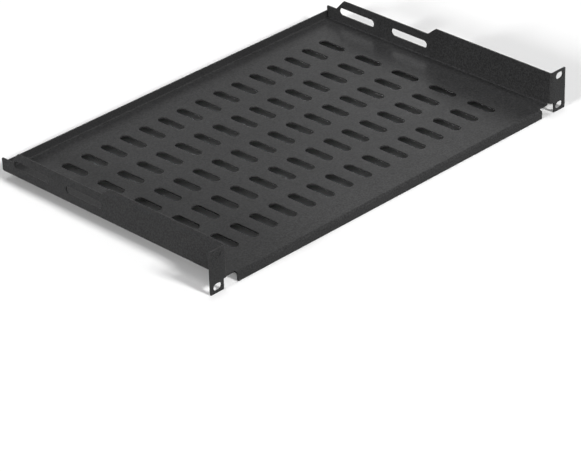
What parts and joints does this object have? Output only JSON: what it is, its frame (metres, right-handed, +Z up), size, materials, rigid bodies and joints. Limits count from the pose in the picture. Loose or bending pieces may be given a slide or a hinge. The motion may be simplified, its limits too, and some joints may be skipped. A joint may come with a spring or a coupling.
{
  "type": "cantilever rack shelf",
  "caption": "Shallow vented steel tray that hangs from the front rails of a 19 inch rack by two folded ears, with stepped side walls, a raised back lip and a turned-down front lip.",
  "frame": {"origin": "middle of the four rack-screw slots, on the back face of the ears where they meet the rack rails", "axes": "+X across the rack to the right, +Y from the rails towards the back of the rack, +Z up"},
  "size_m": [0.4826, 0.3, 0.0436],
  "materials": {
    "powder_coat": "satin black powder coat with a fine texture"
  },
  "bodies": {
    "root": {"rack_shelf": "powder_coat"}
  },
  "joints": []
}
